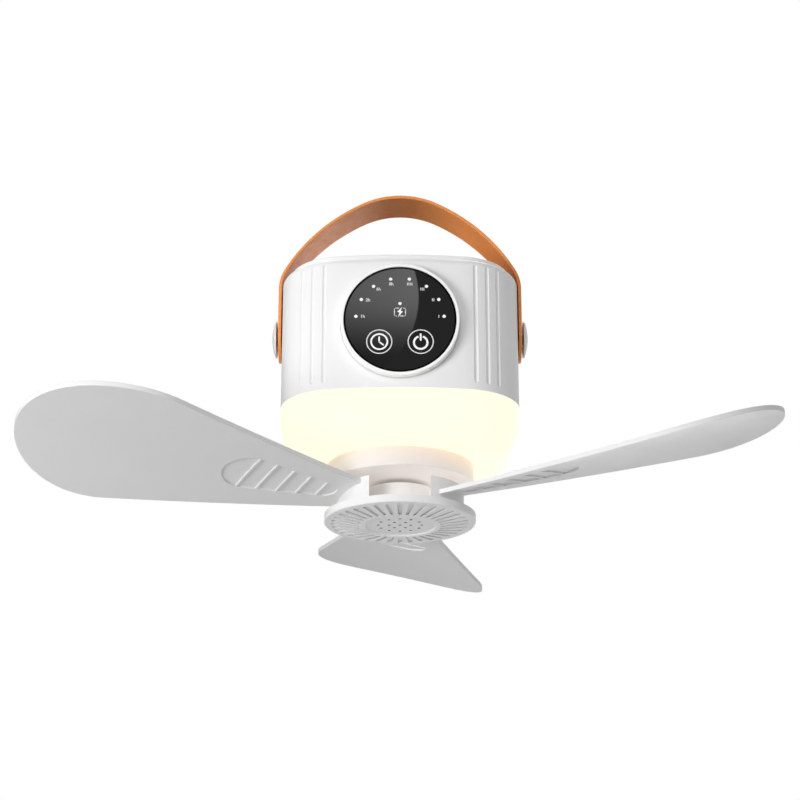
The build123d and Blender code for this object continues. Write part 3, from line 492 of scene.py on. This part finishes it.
def patch_outline():
    """The patch's outline (y, z from the pin), from its top left corner and back to it."""
    outline = [(-HALF_WIDTH + STRAP_WIDTH * j / ACROSS, HALF_WIDTH) for j in range(ACROSS + 1)]
    for k in range(1, PATCH_SIDE_STEPS + 1):
        outline.append((HALF_WIDTH, HALF_WIDTH * (1 - k / PATCH_SIDE_STEPS)))
    for k in range(1, PATCH_ROUND_STEPS):
        a = math.radians(180 * k / PATCH_ROUND_STEPS)
        outline.append((HALF_WIDTH * math.cos(a), -HALF_WIDTH * math.sin(a)))
    for k in range(PATCH_SIDE_STEPS):
        outline.append((-HALF_WIDTH, HALF_WIDTH * k / PATCH_SIDE_STEPS))
    return outline


def build_strap():
    """The strap's mid surface: one run of rows, then rings from each pin hole to its patch."""
    verts, faces, index = [], [], {}

    def vert(x, y, z):
        """The vertex at a place; the run and the patches share theirs where they meet."""
        key = (round(x, 7), round(y, 7), round(z, 7))
        if key not in index:
            index[key] = len(verts)
            verts.append((x, y, z))
        return index[key]

    def row(x, z):
        return [vert(x, -HALF_WIDTH + STRAP_WIDTH * j / ACROSS, z) for j in range(ACROSS + 1)]

    half = strap_line()
    run = [row(x, z) for x, z in [(-x, z) for x, z in reversed(half[1:])] + half]
    run = [row(-LEG_X, PATCH_TOP)] + run + [row(LEG_X, PATCH_TOP)]
    for a, b in zip(run, run[1:]):
        for j in range(ACROSS):
            faces.append((a[j], a[j + 1], b[j + 1], b[j]))

    outline = patch_outline()
    count = len(outline)
    for side in (1, -1):
        loops = []
        for r in range(PATCH_RINGS + 1):
            t = r / PATCH_RINGS
            loop = []
            for y, z in outline:
                length = math.hypot(y, z)
                hole_y, hole_z = y / length * PIN_HOLE_R, z / length * PIN_HOLE_R
                ring_y = hole_y + (y - hole_y) * t
                ring_z = PIVOT_Z + hole_z + (z - hole_z) * t
                loop.append(vert(side * LEG_X, ring_y, ring_z))
            loops.append(loop)
        for inner, outer in zip(loops, loops[1:]):
            for k in range(count):
                n = (k + 1) % count
                faces.append((inner[k], inner[n], outer[n], outer[k]))

    strap = add_mesh("strap_leather", verts, faces, leather, "handle")
    bm = bmesh.new()
    bm.from_mesh(strap.data)
    bmesh.ops.recalc_face_normals(bm, faces=bm.faces)
    bm.to_mesh(strap.data)
    bm.free()
    solid = strap.modifiers.new("thickness", "SOLIDIFY")
    solid.thickness = STRAP_THICKNESS
    solid.offset = 0.0
    solid.use_even_offset = True
    bevel = strap.modifiers.new("rounded_edges", "BEVEL")
    bevel.width = 0.38 * MM
    bevel.segments = 3
    bevel.limit_method = "ANGLE"
    bevel.angle_limit = math.radians(55)
    bevel.harden_normals = True
    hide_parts("handle_strap")


build_strap()

# ---------------------------------------------------------------- panel graphics
# Places and sizes here are shares of the glass radius, from the panel's centre.
INK_LIFT = 0.03 * MM
LABEL_SIZE = 0.082
LABEL_WEIGHT = 0.045 * MM
BAR_PITCH, BAR_WIDTH, BAR_HEIGHT = 0.0275, 0.013, 0.054


def on_panel(u, v):
    """A place on the panel, in the row frame."""
    return (u * GLASS_R, PANEL_Y - INK_LIFT, PANEL_Z + v * GLASS_R)


def panel_mesh(name, shapes, material=mark):
    """Thin flat marks from pairs of loops: outer and inner, or outer and None for a full one."""
    verts, faces = [], []
    for outer, inner in shapes:
        count, start = len(outer), len(verts)
        verts += [on_panel(*p) for p in outer]
        if inner is None:
            faces.append(tuple(range(start, start + count)))
            continue
        middle = len(verts)
        verts += [on_panel(*p) for p in inner]
        for k in range(count):
            n = (k + 1) % count
            faces.append((start + k, start + n, middle + n, middle + k))
    add_mesh(name, verts, faces, material, "lamp_body", smooth=False)


def circle(cx, cy, r, count=40, start=0.0, turn=360.0):
    """Points on a circle, or on a part of one with a point at each end."""
    steps = count if turn >= 360.0 else count - 1
    angles = [math.radians(start + turn * k / steps) for k in range(count)]
    return [(cx + r * math.cos(a), cy + r * math.sin(a)) for a in angles]


def ring(cx, cy, r, width, count=64):
    return (circle(cx, cy, r + width / 2, count), circle(cx, cy, r - width / 2, count))


def arc(cx, cy, r, width, start, turn, count=48):
    """An open part of a ring, as quads."""
    outer = circle(cx, cy, r + width / 2, count, start, turn)
    inner = circle(cx, cy, r - width / 2, count, start, turn)
    return [(quad, None) for quad in zip(outer, outer[1:], inner[1:], inner)]


def stroke(points, width):
    """A polyline, as one capsule for each of its runs."""
    shapes = []
    for (ax, ay), (bx, by) in zip(points, points[1:]):
        angle = math.degrees(math.atan2(by - ay, bx - ax))
        far_end = circle(bx, by, width / 2, 9, angle - 90, 180)
        near_end = circle(ax, ay, width / 2, 9, angle + 90, 180)
        shapes.append((far_end + near_end, None))
    return shapes


# Indicator dots: four on each side of the top, on one circle, and one over the battery
DOT_R, DOT_REACH = 0.030, 0.783
dots = []
for tilt in (12.3, 37.0, 61.6, 86.3):
    a = math.radians(tilt)
    for side in (1, -1):
        u, v = side * DOT_REACH * math.sin(a), DOT_REACH * math.cos(a)
        dots.append((circle(u, v, DOT_R, 24), None))
dots.append((circle(0, 0.296, 0.029, 24), None))
panel_mesh("panel_dots", dots)

# The two touch keys: a ring round a clock and round a power sign
clock_x, icon_y, power_x = -0.366, -0.430, 0.365
panel_mesh(
    "touch_rings",
    [ring(clock_x, icon_y, 0.222, 0.019), ring(power_x, icon_y, 0.222, 0.019)],
    ring_mark,
)
hand_x = clock_x - 0.002
hands = [
    (hand_x, icon_y + 0.085),
    (hand_x, icon_y - 0.003),
    (clock_x + 0.070, icon_y - 0.060),
]
panel_mesh("clock_icon", [ring(clock_x, icon_y, 0.143, 0.030)] + stroke(hands, 0.028))
gap = 19.0
power = arc(power_x, icon_y - 0.018, 0.119, 0.036, 90 + gap, 360 - 2 * gap)
power += stroke([(power_x, icon_y + 0.140), (power_x, icon_y + 0.034)], 0.033)
panel_mesh("power_icon", power)

# Battery outline with rounded corners, open at the top and bottom for the bolt
BOX_HALF_W, BOX_HALF_H, BOX_CORNER, BOX_LINE, BOX_V = 0.099, 0.076, 0.028, 0.013, 0.132


def box_side(side, top_u, bottom_u):
    """Half of the battery outline, from its top opening round to its bottom opening."""
    top, bottom, edge = BOX_V + BOX_HALF_H, BOX_V - BOX_HALF_H, side * BOX_HALF_W
    angles = [math.radians(15 * k) for k in range(7)]
    falls = [(BOX_CORNER * (1 - math.sin(a)), BOX_CORNER * (1 - math.cos(a))) for a in angles]
    path = [(top_u, top)]
    path += [(edge - side * across, top - down) for across, down in falls]
    path += [(edge - side * across, bottom + up) for up, across in falls]
    path.append((bottom_u, bottom))
    return path


bolt = [
    (0.040, BOX_V + 0.098),
    (-0.050, BOX_V + 0.006),
    (-0.008, BOX_V - 0.012),
    (-0.038, BOX_V - 0.104),
    (0.050, BOX_V + 0.012),
    (0.010, BOX_V + 0.024),
]
battery = stroke(box_side(-1, -0.022, -0.060), BOX_LINE)
battery += stroke(box_side(1, 0.060, 0.006), BOX_LINE)
panel_mesh("battery_icon", battery + [(bolt, None)])


def label(name, words, u, v):
    """Small printed label, centred at a place on the panel."""
    curve = bpy.data.curves.new(name, "FONT")
    curve.body = words
    curve.size = LABEL_SIZE * GLASS_R
    curve.align_x = "CENTER"
    curve.align_y = "CENTER"
    curve.resolution_u = 4
    curve.offset = LABEL_WEIGHT
    text = add_object(name + "_text", curve)
    bpy.context.view_layer.update()
    graph = bpy.context.evaluated_depsgraph_get()
    mesh = bpy.data.meshes.new_from_object(text.evaluated_get(graph))
    bpy.data.objects.remove(text)
    upright = Matrix.Rotation(math.radians(90), 4, "X")
    mesh.transform(Matrix.Translation(Vector(on_panel(u, v))) @ upright)
    mesh.name = name
    add_piece(name, mesh, ring_mark, "lamp_body")


for name, words, u, v in (
    ("label_1h", "1h", -0.662, 0.049),
    ("label_2h", "2h", -0.568, 0.362),
    ("label_6h", "6h", -0.380, 0.570),
    ("label_8h", "8h", -0.155, 0.668),
):
    label(name, words, u, v)

# Speed marks: one to four upright bars side by side
for name, count, u, v in (
    ("speed_1", 1, 0.688, 0.049),
    ("speed_2", 2, 0.589, 0.368),
    ("speed_3", 3, 0.397, 0.573),
    ("speed_4", 4, 0.173, 0.670),
):
    bars = []
    for k in range(count):
        middle = u + (k - (count - 1) / 2) * BAR_PITCH
        left, right = middle - BAR_WIDTH / 2, middle + BAR_WIDTH / 2
        low, high = v - BAR_HEIGHT / 2, v + BAR_HEIGHT / 2
        bars.append(([(left, low), (right, low), (right, high), (left, high)], None))
    panel_mesh(name, bars, ring_mark)

# ---------------------------------------------------------------- camera, light and floor
CAMERA_RISE = 19.61  # degrees that the camera looks up
camera = add_object(
    "camera",
    bpy.data.cameras.new("camera"),
    (0.0, -0.97665, -0.4552),
    (math.radians(90 + CAMERA_RISE), 0, 0),
)
camera.data.lens = 91.69
camera.data.sensor_width = 36.0
camera.data.clip_start = 0.01
camera.data.clip_end = 50
bpy.context.scene.camera = camera

LAMP_TARGET = Vector((0, 0, -0.12))
for name, place, size, watts, mirrored in (
    ("key", (-0.849, -1.012, -0.401), (0.7, 0.4), 9.7, True),
    ("front", (-0.220, -1.249, 0.342), (0.7, 0.4), 4.0, False),  # the panel would mirror it
    ("left", (-1.340, -0.117, -0.002), (0.7, 0.4), 1.7, True),
    ("right", (1.228, -0.110, -0.560), (0.7, 0.4), 1.4, True),
    ("top", (0.0, 0.774, 0.986), (0.7, 0.7), 8.4, True),
):
    lamp_data = bpy.data.lights.new(name, "AREA")
    lamp_data.shape = "ELLIPSE"
    lamp_data.size, lamp_data.size_y = size
    lamp_data.energy = watts
    aim = (LAMP_TARGET - Vector(place)).to_track_quat("-Z", "Y").to_euler()
    lamp = add_object(name, lamp_data, place, aim)
    lamp.visible_glossy = mirrored


def reflection_card(name, mesh, material, place, turn=0):
    """An upright card that only reflections see."""
    mesh.materials.append(material.mat)
    card = add_object(name, mesh, place, (math.radians(90), 0, math.radians(turn)))
    card.visible_camera = False
    card.visible_diffuse = False
    card.visible_shadow = False
    card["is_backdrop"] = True


# Round softbox that gives the panel its broad highlight, brighter toward the top and +X
softbox = Mat("softbox_light")
up = softbox.range(softbox.axis(1), -0.085, 0.010, 1.0, 7.2, easing="SMOOTHSTEP")
across = softbox.range(softbox.axis(0), 0.03, 0.115, 0.75, 1.0)
level = softbox.math("MULTIPLY", up, across)
softbox.surface(softbox.join("ShaderNodeEmission", (1, 1, 1), level))
disc = flat_mesh(
    "softbox", bmesh.ops.create_circle, cap_ends=True, segments=96, radius=0.126
)
reflection_card("softbox", disc, softbox, (-0.1024, -1.5, 0.5316))

# Flat cards: a black one that keeps the white room off one side, and a bright one for the strap
for name, place, size, turn, level in (
    ("flag_left", (-1.1, 1.7, -0.05), 2.0, 30, 0.0),
    ("strap_card", (0.68, 1.64, -0.20), 0.8, -20, 2.6),
):
    plain = Mat(name)
    plain.surface(plain.join("ShaderNodeEmission", (1, 1, 1), level))
    sheet = flat_mesh(
        name, bmesh.ops.create_grid, x_segments=1, y_segments=1, size=size / 2
    )
    reflection_card(name, sheet, plain, place, turn)


def floor_material():
    """Matt pale floor that keeps shadows; what is seen of it fades to the room's white far away.

    It is clear from below, so that the object can be looked at from underneath.
    """
    m = Mat("floor_matt")
    matt = m.join("ShaderNodeBsdfDiffuse", (0.60, 0.60, 0.60))
    fade = m.range(m.length(m.coord), 0.5, 3.5, 0.62, 0.93)
    shown = m.math("MULTIPLY", fade, m.room_rays())
    shine = m.join("ShaderNodeEmission", (1, 1, 1), shown)
    from_above = m.join("ShaderNodeAddShader", matt, shine)
    from_below = m.join("ShaderNodeBsdfTransparent")
    backfacing = m.new("ShaderNodeNewGeometry").outputs["Backfacing"]
    m.surface(m.join("ShaderNodeMixShader", backfacing, from_above, from_below))
    return m.mat


floor_mesh = flat_mesh("floor", bmesh.ops.create_grid, x_segments=1, y_segments=1, size=20.0)
floor_mesh.materials.append(floor_material())
floor = add_object("floor", floor_mesh, (0, 0, -0.80))
floor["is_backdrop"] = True

# White room: a soft ambient light on the object, full white where it is seen or mirrored
AMBIENT = 0.30
world = bpy.data.worlds.new("studio")
bpy.context.scene.world = world
world.use_nodes = True
room = Tree(world.node_tree)
room.tree.nodes.clear()
ambient = room.join("ShaderNodeBackground", (1, 1, 1), AMBIENT)
seen = room.join("ShaderNodeBackground", (1, 1, 1), 1.0)
blend = room.join("ShaderNodeMixShader", room.room_rays(), ambient, seen)
room.link(blend, room.new("ShaderNodeOutputWorld").inputs["Surface"])

bpy.context.scene.view_settings.view_transform = "Standard"

low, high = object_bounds()
